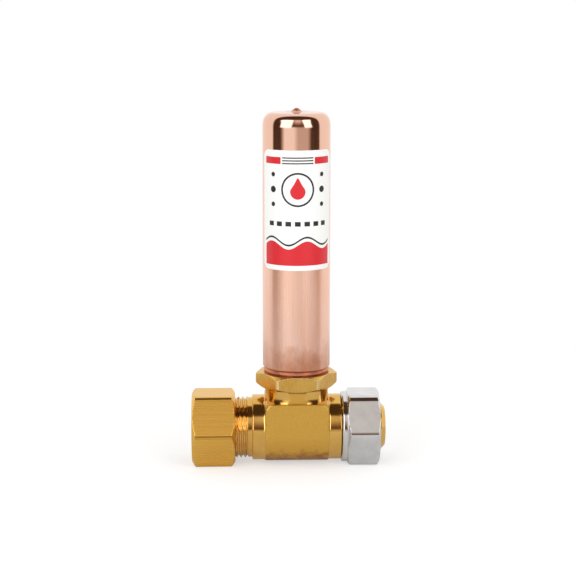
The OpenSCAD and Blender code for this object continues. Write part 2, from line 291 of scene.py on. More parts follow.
def dented(tree, shader, share, depth):
    """Small dents and scratches in the surface, as deep as given, where the share is low."""
    bump = tree.nodes.new("ShaderNodeBump")
    bump.inputs["Distance"].default_value = depth
    tree.links.new(share, bump.inputs["Height"])
    tree.links.new(bump.outputs["Normal"], shader.inputs["Normal"])


def height_in(tree):
    """The height above the floor, in metres."""
    place = tree.nodes.new("ShaderNodeTexCoord")
    axes = tree.nodes.new("ShaderNodeSeparateXYZ")
    tree.links.new(place.outputs["Object"], axes.inputs["Vector"])
    return axes.outputs["Z"]


def worked(tree, operation, first, second):
    """The result of one sum on two values, each a socket or a number."""
    node = tree.nodes.new("ShaderNodeMath")
    node.operation = operation
    for value, socket in zip((first, second), node.inputs):
        if isinstance(value, (int, float)):
            socket.default_value = value
        else:
            tree.links.new(value, socket)
    return node.outputs["Value"]


def forged_brass():
    """Satin brass with the fine speckle that tumbling leaves. Painted shade darkens the top of the neck,
    under the adapter's collar, and more painted shade makes it darker and browner underneath."""
    material, tree, shader = finish("forged_brass", "ddad50", 1.0, 0.4)
    speckle = grain(tree, (2600, 2600, 2600), 4)
    up = height_in(tree)
    # Painted shade: the neck turns dark brown just under the adapter's collar.
    painted_dark = between(tree, up, 0, 1, run_z + neck_top - 0.9 * mm, run_z + neck_top - 0.3 * mm)
    blotch = between(tree, grain(tree, (320, 320, 320), 4), -2 * mm, 2 * mm)
    # Painted shade: the brass turns darker and browner towards the bottom, with a ragged edge.
    painted_underside_shade = between(tree, worked(tree, "ADD", up, blotch), 1, 0, run_z - 9.8 * mm, run_z - 5.8 * mm)
    colour = tinted(tree, between(tree, speckle, 0, 1), "daa949", "e7b95c")
    colour = tinted(tree, painted_underside_shade, colour, "b07a44")
    tree.links.new(tinted(tree, painted_dark, colour, "5e3914"), shader.inputs["Base Color"])
    tree.links.new(between(tree, speckle, 0.34, 0.46), shader.inputs["Roughness"])
    dented(tree, shader, speckle, 0.02 * mm)
    return material


def turned_brass():
    """Bright brass with the fine rings that a cutting tool leaves round the run's axis."""
    material, tree, shader = finish("turned_brass", "dfb05a", 1.0, 0.13)
    rings = grain(tree, (9000, 60, 60), 2)
    clouds = grain(tree, (200, 200, 200), 2)
    tree.links.new(tinted(tree, between(tree, clouds, 0, 1), "deae58", "e8bb6a"), shader.inputs["Base Color"])
    tree.links.new(between(tree, rings, 0.1, 0.16), shader.inputs["Roughness"])
    dented(tree, shader, rings, 0.003 * mm)
    return material


def steps_between(*knots):
    """Angles or places that run through the knots: each is (start, number of steps to the next)."""
    runs = [np.linspace(a, b, n, endpoint=False) for (a, n), (b, _) in zip(knots, knots[1:])]
    return np.concatenate([*runs, [knots[-1][0]]])


half_round = steps_between((0, 16), (np.radians(36), 44), (np.radians(58), 76), (np.pi, 0))
body_angle = np.concatenate([half_round, -half_round[-2:0:-1]])[:, None]
half_length = steps_between((0, 10), (fine_from, 18), (body_half - body_edge_r, 8), (body_half, 0))
body_along = np.concatenate([-half_length[:0:-1], half_length])[None]
body_out = body_reach(body_angle, body_along)
body_along = np.concatenate([body_along[:, :1], body_along, body_along[:, -1:]], axis=1)
body = skin("body", about_run(body_angle, body_along, np.pad(body_out, ((0, 0), (1, 1)))))

neck_angle = np.linspace(0, 2 * np.pi, 320, endpoint=False)[:, None]
neck_height = np.linspace(body_top - 3 * mm, neck_top, 40)[None]
neck_out = np.pad(neck_reach(neck_angle, neck_height), ((0, 0), (1, 1)))
neck = skin("neck", about_branch(neck_angle, np.pad(neck_height, ((0, 0), (1, 1)), mode="edge"), neck_out))

thread_end_x = -(hub_x + relief_l)
thread_x = np.linspace(spigot_x, thread_end_x, 93)
quarter = np.linspace(0, np.pi / 2, 7)
cove = np.stack([body_half + cove_l * (1 - np.sin(quarter)), hub_r + cove_h * (1 - np.cos(quarter))], axis=1)
left_hub = rounded([
    (thread_end_x, relief_r, 0), (-hub_x, relief_r, 0.15 * mm), (-hub_x, hub_r, hub_edge_r),
    (-body_half - cove_l, hub_r, 0),
])
right_hub = rounded([
    (body_half + cove_l, hub_r, 0), (hub_x, hub_r, hub_edge_r), (hub_x, pipe_r, 0.2 * mm),
    (stub_x - stub_bevel, pipe_r, 0.2 * mm), (stub_x, pipe_r - stub_bevel, 0.15 * mm), (stub_x, 0, 0),
])
plain = np.concatenate([left_hub, cove * (-1, 1), cove[::-1], right_hub])
run_along = np.concatenate([[spigot_x], thread_x, plain[:, 0]])[None]
run_angle = np.linspace(0, 2 * np.pi, 160, endpoint=False)[:, None]
thread_out = thread_crest_r - thread_depth * (1 - thread_ridge(run_angle, thread_x[None]))
thread_out = np.minimum(thread_out, thread_crest_r - thread_bevel + thread_x - spigot_x)
run_out = np.concatenate([
    np.zeros_like(run_angle), thread_out, np.broadcast_to(plain[:, 1], (len(run_angle), len(plain))),
], axis=1)
tee = skin("tee", about_run(run_angle, run_along, run_out))

waterway = rounded([
    (spigot_x - beyond, 0, 0), (spigot_x - beyond, seat_r, 0), (spigot_x, seat_r, 0),
    (spigot_x + seat_l, socket_r, 0), (spigot_x + socket_l, socket_r, 0), (spigot_x + socket_l, water_r, 0),
    (stub_x - 0.4 * mm, water_r, 0), (stub_x + beyond, water_r + 1.4 * mm, 0), (stub_x + beyond, 0, 0),
])
port = rounded([
    (0, 0, 0), (0, water_r, 0), (port_floor, water_r, 0), (port_floor, port_r, 0),
    (neck_top + beyond, port_r, 0), (neck_top + beyond, 0, 0),
])
bore_angle = np.linspace(0, 2 * np.pi, 96, endpoint=False)[:, None]
waterway = skin("waterway", about_run(bore_angle, waterway[:, 0], waterway[:, 1]))
port = skin("port", about_branch(bore_angle, port[:, 0], port[:, 1]))
combined(tee, [body, neck], "UNION")
combined(tee, [waterway, port], "DIFFERENCE")
tee.data.shade_smooth()
tee.data.set_sharp_from_angle(angle=tee_sharp)


def threaded_brass():
    """Bright brass, a little paler, as it is seen in the furrows that a sharp tool has cut."""
    material, tree, shader = finish("threaded_brass", "e2bc7a", 1.0, 0.1)
    chatter = grain(tree, (700, 700, 700), 3)
    tree.links.new(between(tree, chatter, 0.07, 0.13), shader.inputs["Roughness"])
    return material


def faces(piece):
    """The middles of a mesh's faces, measured from where the run and the branch cross, and their
    normals."""
    polygons = piece.data.polygons
    places, normals = np.zeros(len(polygons) * 3), np.zeros(len(polygons) * 3)
    polygons.foreach_get("center", places)
    polygons.foreach_get("normal", normals)
    return places.reshape(-1, 3) - (branch_x, 0, run_z), normals.reshape(-1, 3)


forged = forged_brass()
turned = turned_brass()
tee.data.materials.clear()
for brass in (forged, turned, threaded_brass()):
    tee.data.materials.append(brass)

# Past the ends of the body the brass is turned, and so is the neck between its flat sides; the
# thread has its own.
middles, _ = faces(tee)
from_flat = body_half - np.abs(middles[:, :2]).max(axis=1)
on_run = np.abs(middles[:, 0]) > body_half + 0.02 * mm
on_neck = (middles[:, 2] > body_top - 0.05 * mm) & (from_flat > 0.06 * mm)
on_thread = (middles[:, 0] < thread_end_x) & (np.hypot(middles[:, 1], middles[:, 2]) > seat_r)
which = np.where(on_thread, 2, on_run | on_neck)
tee.data.polygons.foreach_set("material_index", which.astype(np.int32))
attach(tee, "arrestor")
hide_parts("tee_body")

# Adapter
# A brass piece turned from hexagonal bar. Its screw is in the tee's port, its collar takes the
# wrench, and its stem, with a rubber ring in a groove, is inside the foot of the cylinder.
adapter_low, adapter_high = (np.array(corner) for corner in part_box("hex_adapter"))
collar_flat_r = (adapter_high[1] - adapter_low[1]) / 2
collar_corner_r = collar_flat_r / np.cos(np.pi / 6)
collar_top = tube_low[2] - run_z
collar_bevel = 1 * mm
collar_edge_r = 1.5 * mm
screw_low = adapter_low[2] - run_z
screw_r = 7.9 * mm
stem_top = adapter_high[2] - run_z
stem_r = 10.17 * mm
roll_stem_r = 9.57 * mm
roll_top = collar_top + 2.2 * mm
seal_groove_r = 8.37 * mm
seal_groove = (collar_top + 5.7 * mm, collar_top + 7.9 * mm)
turned_edge = 0.5 * mm


def hexagon(flat_r, edge_r, first_flat, side_steps=18, edge_steps=5):
    """Angle and distance of points round a hexagon with rounded edges. Each sixth is a straight
    side with half of an edge's arc at both ends; the arc's middle is as far inside the side as
    its radius. The six sixths are turned by equal steps from the first flat."""
    reach_along = (flat_r - edge_r) * np.tan(np.pi / 6)
    bend = np.linspace(0, np.pi / 6, edge_steps + 1)[1:]
    side = np.linspace(-reach_along, reach_along, side_steps + 1)
    arc_out = flat_r - edge_r + edge_r * np.cos(bend)
    arc_along = reach_along + edge_r * np.sin(bend)
    out = np.concatenate([np.full(side.shape, flat_r), arc_out, arc_out[-2::-1]])
    along = np.concatenate([side, arc_along, np.zeros(edge_steps - 1)])
    turn = np.arctan2(along, out)
    turn[-(edge_steps - 1):] = np.pi / 3 - np.arctan2(arc_along, arc_out)[-2::-1]
    far = np.hypot(out, along)
    far[-(edge_steps - 1):] = np.hypot(arc_out, arc_along)[-2::-1]
    sixths = first_flat + np.arange(6)[:, None] * np.pi / 3
    return (sixths + turn).ravel()[:, None], np.tile(far, 6)[:, None]


adapter_outline = divided(rounded([
    (screw_low, water_r, 0), (screw_low, screw_r - turned_edge, 0), (screw_low + turned_edge, screw_r, 0),
    (neck_top, screw_r, 0), (neck_top, collar_corner_r - collar_bevel * np.sqrt(3), 0.2 * mm),
    (neck_top + collar_bevel, collar_corner_r, 0.1 * mm),
    (collar_top - collar_bevel, collar_corner_r, 0.1 * mm),
    (collar_top, collar_corner_r - collar_bevel * np.sqrt(3), 0.2 * mm), (collar_top, roll_stem_r, 0),
    (roll_top, roll_stem_r, 0), (roll_top, stem_r, 0), (seal_groove[0], stem_r, 0),
    (seal_groove[0], seal_groove_r, 0), (seal_groove[1], seal_groove_r, 0), (seal_groove[1], stem_r, 0),
    (stem_top - turned_edge, stem_r, 0), (stem_top, stem_r - turned_edge, 0), (stem_top, water_r, 0),
]), 0.12 * mm)
adapter_angle, adapter_far = hexagon(collar_flat_r, collar_edge_r, np.pi / 6)
adapter_out = soft_min(adapter_far, adapter_outline[:, 1], 0.3 * mm)
adapter = skin("adapter", about_branch(adapter_angle, adapter_outline[:, 0], adapter_out), ring=True)
adapter.data.set_sharp_from_angle(angle=sharp)


def bar_brass():
    """Brass bar with fine lines drawn along it, up the flats of the collar."""
    material, tree, shader = finish("bar_brass", "dcac50", 1.0, 0.28)
    lines = grain(tree, (1800, 1800, 90), 3)
    clouds = grain(tree, (220, 220, 220), 2)
    tree.links.new(tinted(tree, between(tree, clouds, 0, 1), "d4a146", "e2b660"), shader.inputs["Base Color"])
    tree.links.new(between(tree, lines, 0.22, 0.34), shader.inputs["Roughness"])
    dented(tree, shader, lines, 0.006 * mm)
    return material


def worn_and_sheen_brass(name, colour, smooth, rough):
    """Brass along the rounded edges of a hexagon: rubbed by hands and wrenches on the nut, and on the
    collar pale, as a painted highlight. Its roughness wanders between two values."""
    material, tree, shader = finish(name, colour, 1.0, rough)
    rubs = grain(tree, (600, 600, 600), 3)
    tree.links.new(between(tree, rubs, smooth, rough), shader.inputs["Roughness"])
    return material


def on_edges(across, up, along, from_axis, flat_r):
    """Which faces are on a hexagon's rounded edges: outside its flats' circle, facing out, and turned
    from the nearest flat. The normals' parts along the axis, and across and up from it, are given."""
    sixth = np.pi / 3
    off_flat = np.abs((np.arctan2(across, up) + sixth / 2) % sixth - sixth / 2)
    return (np.abs(along) < 0.5) & (off_flat > np.radians(4)) & (from_axis > flat_r)


adapter.data.materials.append(bar_brass())
# The collar's rounded edges and chamfers get a pale painted highlight.
adapter.data.materials.append(worn_and_sheen_brass("painted_sheen_collar", "efd08e", 0.42, 0.52))
middles, facing = faces(adapter)
from_axis = np.hypot(middles[:, 0], middles[:, 1])
on_edge = on_edges(facing[:, 0], facing[:, 1], facing[:, 2], from_axis, collar_flat_r)
# The chamfers join the painted highlight too.
on_edge |= (facing[:, 2] > 0.12) & (facing[:, 2] < 0.8) & (from_axis > collar_flat_r - 0.1 * mm)
adapter.data.polygons.foreach_set("material_index", on_edge.astype(np.int32))
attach(adapter, "arrestor")
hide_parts("hex_adapter")


def black_rubber():
    """Dull black rubber with a faint mould bloom."""
    material, tree, shader = finish("black_rubber", "1c1c1c", 0.0, 0.6)
    bloom = grain(tree, (700, 700, 700), 3)
    tree.links.new(tinted(tree, between(tree, bloom, 0, 1), "171717", "2a2a29"), shader.inputs["Base Color"])
    dented(tree, shader, bloom, 0.02 * mm)
    return material


rubber = black_rubber()
for seal in ("adapter_seal", "piston_seal_upper", "piston_seal_lower"):
    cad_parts[seal].data.materials.clear()
    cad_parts[seal].data.materials.append(rubber)

# Piston
# A white plastic cup with two rubber rings, moulded and turned to run in the cylinder. Gas above
# it gives way when the water hammers, so it slides; none of it shows from outside.


def white_acetal():
    """Milky plastic with faint turning rings round the branch's axis."""
    material, tree, shader = finish("white_acetal", "e6e3da", 0.0, 0.38)
    rings = grain(tree, (40, 40, 5000), 2)
    tree.links.new(tinted(tree, between(tree, rings, 0, 1), "dedbd1", "ece9e1"), shader.inputs["Base Color"])
    dented(tree, shader, rings, 0.01 * mm)
    return material


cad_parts["piston"].data.materials.clear()
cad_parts["piston"].data.materials.append(white_acetal())

# Cylinder
# Hard-drawn copper tube. Its top is spun shut to a rounded shoulder with a small tip, and
# its foot is rolled in over the adapter's stem, which leaves a bead and the marks of the rollers.
tube_r = (tube_high[0] - tube_low[0]) / 2
tube_wall = 0.9 * mm
tip_h = 1.3 * mm
tip_base_r = 2.0 * mm
tip_end_r = 0.5 * mm
tip_flare = 1.2 * mm
flat_top = tube_high[2] - run_z - tip_h
shoulder_in = 3.4 * mm
shoulder_h = 5.4 * mm
tip_foot_h = 0.15 * mm
rim_r = tube_r - 0.6 * mm
crease_r = tube_r - 0.62 * mm
bead_r = tube_r - 0.34 * mm
roll_h = 2 * mm
roll_mid = 1.1 * mm
roll_half = 0.4 * mm
roller_angle = np.radians([-118.5, -33.3, 52, 145])
roller_mark = 0.22 * mm
roller_half = np.radians(2.2)
tube_sharp = np.radians(50)
# Middle of a darker patch of painted reflection on the front of the foot.
painted_foot_spot = (branch_x + 1.5 * mm, -tube_r, run_z + collar_top + 4 * mm)


def away_from(tree, spot):
    """The distance from a spot of the piece, in metres."""
    place = tree.nodes.new("ShaderNodeTexCoord")
    measure = tree.nodes.new("ShaderNodeVectorMath")
    measure.operation = "DISTANCE"
    measure.inputs[1].default_value = spot
    tree.links.new(place.outputs["Object"], measure.inputs[0])
    return measure.outputs["Value"]


def spun_copper():
    """Copper that is nearly a mirror where it was spun at the top, and satin below, with fine lines
    drawn along it. The tip is browned by the heat that closed it, and the foot by the rollers' oil. A band
    of painted reflection darkens the tube above the foot, all round, and a darker painted reflection lies on
    it in front."""
    material, tree, shader = finish("spun_copper", "f2c1a8", 1.0, 0.25)
    lines = grain(tree, (2400, 2400, 14), 3)
    clouds = grain(tree, (160, 160, 40), 3)
    up = height_in(tree)
    spun = between(tree, up, 0, 1, run_z + flat_top - 34 * mm, run_z + flat_top - 13 * mm)
    satin = between(tree, spun, 0.3, 0.08, 0, 1)
    heat = between(tree, up, 0, 1, run_z + flat_top, run_z + flat_top + 0.8 * mm)
    oil = between(tree, up, 1, 0, run_z + collar_top + 1.3 * mm, run_z + collar_top + 2.2 * mm)
    edge_wobble = between(tree, grain(tree, (260, 260, 160), 3), -3 * mm, 3 * mm)
    # Painted reflection: a darker band rings the tube from 2 to 11 mm above the collar, with a wobbling edge.
    painted_foot_band = worked(tree, "ADD", up, edge_wobble)
    painted_foot_band = between(tree, painted_foot_band, 0.75, 0, run_z + collar_top + 2 * mm, run_z + collar_top + 11 * mm)
    # Painted reflection: a darker, browner patch on the front of the foot, round a spot in front of the tube.
    painted_dark = worked(tree, "ADD", away_from(tree, painted_foot_spot), edge_wobble)
    painted_dark = between(tree, painted_dark, 0.7, 0, 1 * mm, 8 * mm)
    rough = worked(tree, "MULTIPLY", satin, between(tree, lines, 0.8, 1.25))
    rough = worked(tree, "MAXIMUM", rough, worked(tree, "MULTIPLY", heat, 0.36))
    rough = worked(tree, "MAXIMUM", rough, worked(tree, "MULTIPLY", oil, 0.4))
    tree.links.new(rough, shader.inputs["Roughness"])
    colour = tinted(tree, between(tree, clouds, 0, 1), "f5c4ac", "f9d0bd")
    colour = tinted(tree, spun, colour, "f0c2ab")
    colour = tinted(tree, painted_foot_band, colour, "d99a7c")
    colour = tinted(tree, painted_dark, colour, "c8805c")
    colour = tinted(tree, oil, colour, "d4937a")
    tree.links.new(tinted(tree, heat, colour, "b87048"), shader.inputs["Base Color"])
    dented(tree, shader, lines, 0.004 * mm)
    return material


tube_outer = rounded([
    (collar_top, rim_r, 0.2 * mm), (collar_top + 0.25 * mm, crease_r, 0.1 * mm),
    (collar_top + 0.45 * mm, bead_r, 0.2 * mm), (collar_top + 0.95 * mm, bead_r, 0.2 * mm),
    (collar_top + 1.25 * mm, crease_r, 0.12 * mm), (collar_top + roll_h, tube_r, 0.5 * mm),
    (flat_top - shoulder_h, tube_r, 0),
], steps=14)

# The shoulder is a quarter of an oval that turns in quickly at its top: the distance in from the
# side goes with one less the cosine of the bend, the height with its sine to the power of two thirds.
bend = np.pi / 2 * np.linspace(0, 1, 30) ** 1.5
shoulder = np.stack([
    flat_top - shoulder_h * (1 - np.sin(bend) ** (2 / 3)), tube_r - shoulder_in * (1 - np.cos(bend)),
], axis=1)
tip = rounded([
    (flat_top, tip_base_r + tip_flare, 0), (flat_top + tip_foot_h, tip_base_r, tip_flare),
    (flat_top + tip_h, tip_end_r, 0.4 * mm), (flat_top + tip_h, 0, 0),
], steps=8)
tube_inner = rounded([
    (flat_top - tube_wall, 0, 0), (flat_top - tube_wall, tube_r - tube_wall, shoulder_in - tube_wall),
    (collar_top + roll_h, tube_r - tube_wall, 0), (collar_top + 0.5 * mm, rim_r - tube_wall, 0),
    (collar_top, rim_r - tube_wall, 0), (collar_top, rim_r - 0.2 * mm, 0),
], steps=10)
tube_outline = np.concatenate([tube_inner, tube_outer[1:], shoulder[1:], tip])
tube_angle = np.linspace(0, 2 * np.pi, 288, endpoint=False)[:, None]

# Each roller has left a mark that swells out of the rolled foot: a bell curve round the tube, times
# a bell curve up it.
to_mark = (tube_angle[:, :, None] - roller_angle + np.pi / 2 + np.pi) % (2 * np.pi) - np.pi
mark = np.exp(-((to_mark / roller_half) ** 2)).sum(axis=2)
foot = np.exp(-(((tube_outline[:, 0] - collar_top - roll_mid) / roll_half) ** 2))
foot = np.where(np.arange(len(tube_outline)) < len(tube_inner), 0, foot)
tube_out = tube_outline[:, 1] + roller_mark * mark * foot
tube = skin("tube", about_branch(tube_angle, tube_outline[:, 0], tube_out))
tube.data.set_sharp_from_angle(angle=tube_sharp)
tube.data.materials.append(spun_copper())
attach(tube, "arrestor")
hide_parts("cylinder")

# Label
# White printed film, stuck to the front of the cylinder, with a red wave below, a ringed drop
# and rules above. The inks lie on the film as very thin layers.
label_low, label_high = (np.array(corner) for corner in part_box("label"))
label_outer_r = -label_low[1]
label_inner_r = label_outer_r - 0.1 * mm
label_h = label_high[2] - label_low[2]
label_half = label_outer_r * np.radians(70)
margin = 1.5 * mm
field = label_half - margin
label_corner = 2.8 * mm
ink_t = 0.02 * mm
red_low = 1.6 * mm
wave_up = 8.2 * mm
wave_h = 1.3 * mm
line_low, line_high = 1.0 * mm, 1.6 * mm
band_low, band_high = 34.4 * mm, 36.6 * mm
band_l = 6.5 * mm
rule_half = 5.2 * mm
rule_t = 0.4 * mm
drop_up = 25.6 * mm
ring_up = 26.2 * mm
dots_out = 8.6 * mm
dots = ((21.4 * mm, 0.75 * mm), (26.2 * mm, 1.05 * mm), (31.0 * mm, 0.75 * mm))
dash_step = 3.1 * mm
dash_low, dash_high = 14.4 * mm, 15.9 * mm


def film(name, patches, inner_r, outer_r):
    """Thin sheets bent round the front of the cylinder. Each patch is a grid of (side, up) places
    on the flat label; its side becomes an angle round the branch's axis. Both faces of the grid and a
    rim round its border make it a closed sheet; a patch that meets itself has a rim at its two ends."""
    places, covers, count = [], [], 0
    for flat, meets in patches:
        rows, columns = flat.shape[:2]
        angle = flat[..., 0] / outer_r - np.pi / 2
        height = label_low[2] - run_z + flat[..., 1]
        both = np.stack([about_branch(angle, height, r) for r in (inner_r, outer_r)])
        index = count + np.arange(both[..., 0].size).reshape(2, rows, columns)
        if meets:
            index = np.concatenate([index, index[:, :1]], axis=1)
        for side, order in ((index[1], 1), (index[0], -1)):
            quads = np.stack([side[:-1, :-1], side[1:, :-1], side[1:, 1:], side[:-1, 1:]], axis=-1)
            covers.append(quads.reshape(-1, 4)[:, ::order])
        rims = [index[:, :, 0], index[:, ::-1, -1]]
        if not meets:
            rims += [index[:, 0, ::-1], index[:, -1, :]]
        for rim in rims:
            covers.append(np.stack([rim[0, :-1], rim[0, 1:], rim[1, 1:], rim[1, :-1]], axis=-1))
        places.append(both.reshape(-1, 3))
        count += both[..., 0].size
    piece = closed_piece(name, np.concatenate(places), np.concatenate(covers))
    piece.data.set_sharp_from_angle(angle=sharp)
    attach(piece, "arrestor")
    return piece


def strip(left, right, low, high, columns=40, rows=3):
    """A patch between two heights, each a number or a function of the place across."""
    side = np.linspace(left, right, columns)
    lower = low(side) if callable(low) else np.full(columns, low)
    upper = high(side) if callable(high) else np.full(columns, high)
    share = np.linspace(0, 1, rows)[None]
    up = lower[:, None] + (upper - lower)[:, None] * share
    return np.stack([np.broadcast_to(side[:, None], up.shape), up], axis=-1), False


def round_patch(side, up, inner, outer, pull=0.0, points=72, rows=4):
    """A disc or ring about a middle. With a pull, its top is drawn out to a point, as a drop's is."""
    turn = np.linspace(0, 2 * np.pi, points, endpoint=False)[:, None]
    share = np.linspace(inner, outer, rows)[None]
    lift = pull * np.clip(np.sin(turn), 0, 1) ** 6
    narrow = 1 - 0.35 * (pull > 0) * np.clip(np.sin(turn), 0, 1) ** 2
    flat = np.stack([side + share * np.cos(turn) * narrow, up + share * (np.sin(turn) + lift)], axis=-1)
    return flat, True


def printed(name, colour):
    """Smooth film or ink with a faint mottle."""
    material, tree, shader = finish(name, colour, 0.0, 0.36)
    mottle = grain(tree, (900, 900, 900), 2)
    tree.links.new(between(tree, mottle, 0.32, 0.42), shader.inputs["Roughness"])
    duller = colour[:-1] + format(max(int(colour[-1], 16) - 3, 0), "x")
    tree.links.new(tinted(tree, between(tree, mottle, 0, 1), colour, duller), shader.inputs["Base Color"])
    return material


up = np.concatenate([
    label_corner * (1 - np.cos(np.linspace(0, np.pi / 2, 12))),
    label_h - label_corner * (1 - np.cos(np.linspace(np.pi / 2, 0, 12))),
])
into_corner = (label_corner - np.minimum(up, label_h - up)).clip(0)
half_width = label_half - label_corner + np.sqrt((label_corner**2 - into_corner**2).clip(0))
across = np.linspace(-1, 1, 64)[:, None]
sheet = np.stack([across * half_width, np.broadcast_to(up, (64, len(up)))], axis=-1)
label = film("label_sheet", [(sheet, False)], label_inner_r, label_outer_r)
label.data.materials.append(printed("label_white", "f4f4f2"))
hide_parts("label")


def wave(side, above=0.0):
    """The upper edge of the red field, or a line at a distance above it: a sine with two crests
    across the label."""
    return wave_up + wave_h * np.sin(side / field * 2 * np.pi) + above


reds = [
    strip(-field, field, red_low, wave),
    round_patch(0, drop_up, 0, 2.5 * mm, pull=0.75),
    strip(-field, -field + band_l, band_low, band_high, 10),
    strip(field - band_l, field, band_low, band_high, 10),
]
blacks = [
    strip(-field, field, lambda side: wave(side, line_low), lambda side: wave(side, line_high)),
    round_patch(0, ring_up, 4.9 * mm, 5.5 * mm, rows=2),
    *[strip(-rule_half, rule_half, low, low + rule_t, 16)
      for low in np.linspace(band_low, band_high - rule_t, 3)],
    *[round_patch(side * dots_out, height, 0, size, rows=2, points=36)
      for side in (-1, 1) for height, size in dots],
    *[strip((k - 0.3) * dash_step, (k + 0.3) * dash_step, dash_low, dash_high, 6) for k in range(-3, 4)],
]
for name, colour, patches in (("label_red", "d4202b", reds), ("label_black", "1e1d1f", blacks)):
    ink = film(name, patches, label_outer_r - ink_t / 2, label_outer_r + ink_t)
    ink.data.materials.append(printed(name, colour))

# Pipe's nut and sleeves
# A compression nut milled from brass bar, screwed on the tee's thread, with a turned brass
# sleeve inside it that grips the pipe. A like sleeve is inside the plated nut.
nut_flat_r = (nut_high[2] - nut_low[2]) / 2
nut_corner_r = nut_flat_r / np.cos(np.pi / 6)
nut_l = nut_high[0] - nut_low[0]
nut_bevel = 1.35 * mm
nut_edge_r = 1.4 * mm
nut_hole_r = 8.0975 * mm
nut_end_t = 1.9 * mm
nut_bore_r = 10.3475 * mm
nut_mouth = 0.425 * mm
nut_hole_edge = 0.3 * mm
thread_play = 0.07 * mm
thread_runout = 0.6 * mm


def nut_outline(length, outer):
    """Section of a nut from its closed end at 0: the outside as given, then back through the mouth,
    the threaded bore, the cone for the sleeve and the pipe's hole. With it comes which of its
    points are on the thread."""
    cone_x = nut_end_t + nut_bore_r - nut_hole_r
    ridge_x = np.linspace(length - nut_mouth, cone_x + thread_runout, 80)
    outside = divided(rounded([(0, nut_hole_r, 0), *outer, (length, nut_bore_r + nut_mouth, 0)]), 0.2 * mm)
    inside = divided(rounded([
        (cone_x, nut_bore_r, 0), (nut_end_t, nut_hole_r, 0),
        (nut_hole_edge, nut_hole_r, 0), (0, nut_hole_r + nut_hole_edge, 0),
    ]), 0.3 * mm)
    threaded = np.stack([ridge_x, np.full(ridge_x.shape, nut_bore_r)], axis=1)
    outline = np.concatenate([outside[1:], threaded, inside])
    ridged = np.zeros(len(outline), bool)
    ridged[len(outside) - 1:len(outside) - 1 + len(threaded)] = True
    return outline, ridged


def nut_skin(name, end_x, outline, ridged, edge_r):
    """A nut about the run: its section is carried round, each point no further out than the hexagon;
    in the bore, the ridge of its thread lies in the furrow of the tee's."""
    angle, far = hexagon(nut_flat_r, edge_r, 0.0)
    along = end_x + outline[:, 0]
    out = soft_min(far, outline[:, 1], 0.06 * mm)
    furrow = thread_crest_r + thread_play - thread_depth * (1 - thread_ridge(angle, along))
    fade = np.clip((outline[:, 0].max() - nut_mouth - outline[:, 0]) / thread_pitch, 0, 1)
    out = np.where(ridged, nut_bore_r + (furrow - nut_bore_r) * fade, out)
    piece = skin(name, about_run(angle, along, out), ring=True)
    piece.data.set_sharp_from_angle(angle=sharp)
    return piece


hex_outer = [
    (0, nut_corner_r - nut_bevel * np.sqrt(3), 0.2 * mm), (nut_bevel, nut_corner_r, 0.1 * mm),
    (nut_l - nut_bevel, nut_corner_r, 0.1 * mm), (nut_l, nut_corner_r - nut_bevel * np.sqrt(3), 0.2 * mm),
]
pipe_nut = nut_skin("nut_brass", nut_low[0] - branch_x, *nut_outline(nut_l, hex_outer), nut_edge_r)


def milled_brass():
    """Brass with fine lines drawn along the bar that it was cut from."""
    material, tree, shader = finish("milled_brass", "daa950", 1.0, 0.3)
    lines = grain(tree, (8, 2600, 2600), 3)
    tree.links.new(tinted(tree, between(tree, lines, 0, 1), "e7b453", "eebd5d"), shader.inputs["Base Color"])
    tree.links.new(between(tree, lines, 0.25, 0.3), shader.inputs["Roughness"])
    dented(tree, shader, lines, 0.0006 * mm)
    return material


pipe_nut.data.materials.append(milled_brass())
pipe_nut.data.materials.append(worn_and_sheen_brass("worn_nut", "d6a248", 0.1, 0.18))
middles, facing = faces(pipe_nut)
from_axis = np.hypot(middles[:, 1], middles[:, 2])
on_edge = on_edges(facing[:, 1], facing[:, 2], facing[:, 0], from_axis, nut_flat_r)
pipe_nut.data.polygons.foreach_set("material_index", on_edge.astype(np.int32))
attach(pipe_nut, "pipe_nut")
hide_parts("pipe_nut")
for sleeve in ("pipe_sleeve", "valve_sleeve"):
    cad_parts[sleeve].data.materials.clear()
    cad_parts[sleeve].data.materials.append(turned)

# Plated nut
# The stop valve's compression nut, loose on the tee's stub: turned from hexagonal brass bar with a
# round collar at its closed end, polished, and plated with nickel and chromium.
valve_low, valve_high = (np.array(corner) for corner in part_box("valve_nut"))
valve_nut_l = valve_high[0] - valve_low[0]
valve_collar_r = nut_flat_r - 0.1 * mm
valve_collar_l = 1.9 * mm
valve_collar_edge_r = 0.65 * mm
valve_bevel = 1.0 * mm
valve_edge_r = 3.1 * mm


def chrome_plate():
    """Bright plating with a faint haze and a few fine wiping marks."""
    material, tree, shader = finish("chrome_plate", "d9d8d6", 1.0, 0.08)
    haze = grain(tree, (300, 300, 300), 3)
    tree.links.new(between(tree, haze, 0.05, 0.12), shader.inputs["Roughness"])
    tree.links.new(tinted(tree, between(tree, haze, 0, 1), "d3d2d0", "e0dfde"), shader.inputs["Base Color"])
    dented(tree, shader, haze, 0.004 * mm)
    return material


valve_outer = [
    (0, valve_collar_r, valve_collar_edge_r), (valve_collar_l - 0.25 * mm, valve_collar_r, 0.15 * mm),
    (valve_collar_l, valve_collar_r - 0.3 * mm, 0.1 * mm),
    (valve_collar_l + 0.15 * mm, nut_corner_r - valve_bevel * np.sqrt(3), 0.15 * mm),
    (valve_collar_l + valve_bevel, nut_corner_r, 0.1 * mm),
    (valve_nut_l - valve_bevel, nut_corner_r, 0.1 * mm),
    (valve_nut_l, nut_corner_r - valve_bevel * np.sqrt(3), 0.2 * mm),
]
valve_nut = nut_skin(
    "nut_plated", valve_low[0] - branch_x, *nut_outline(valve_nut_l, valve_outer), valve_edge_r)
valve_nut.data.materials.append(chrome_plate())
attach(valve_nut, "valve_nut")
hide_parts("valve_nut")

# Floor
# A round white sheet that the part stands on.
floor_r = 0.2
glow_direct = 0.5
glow_mirrored = 0.18


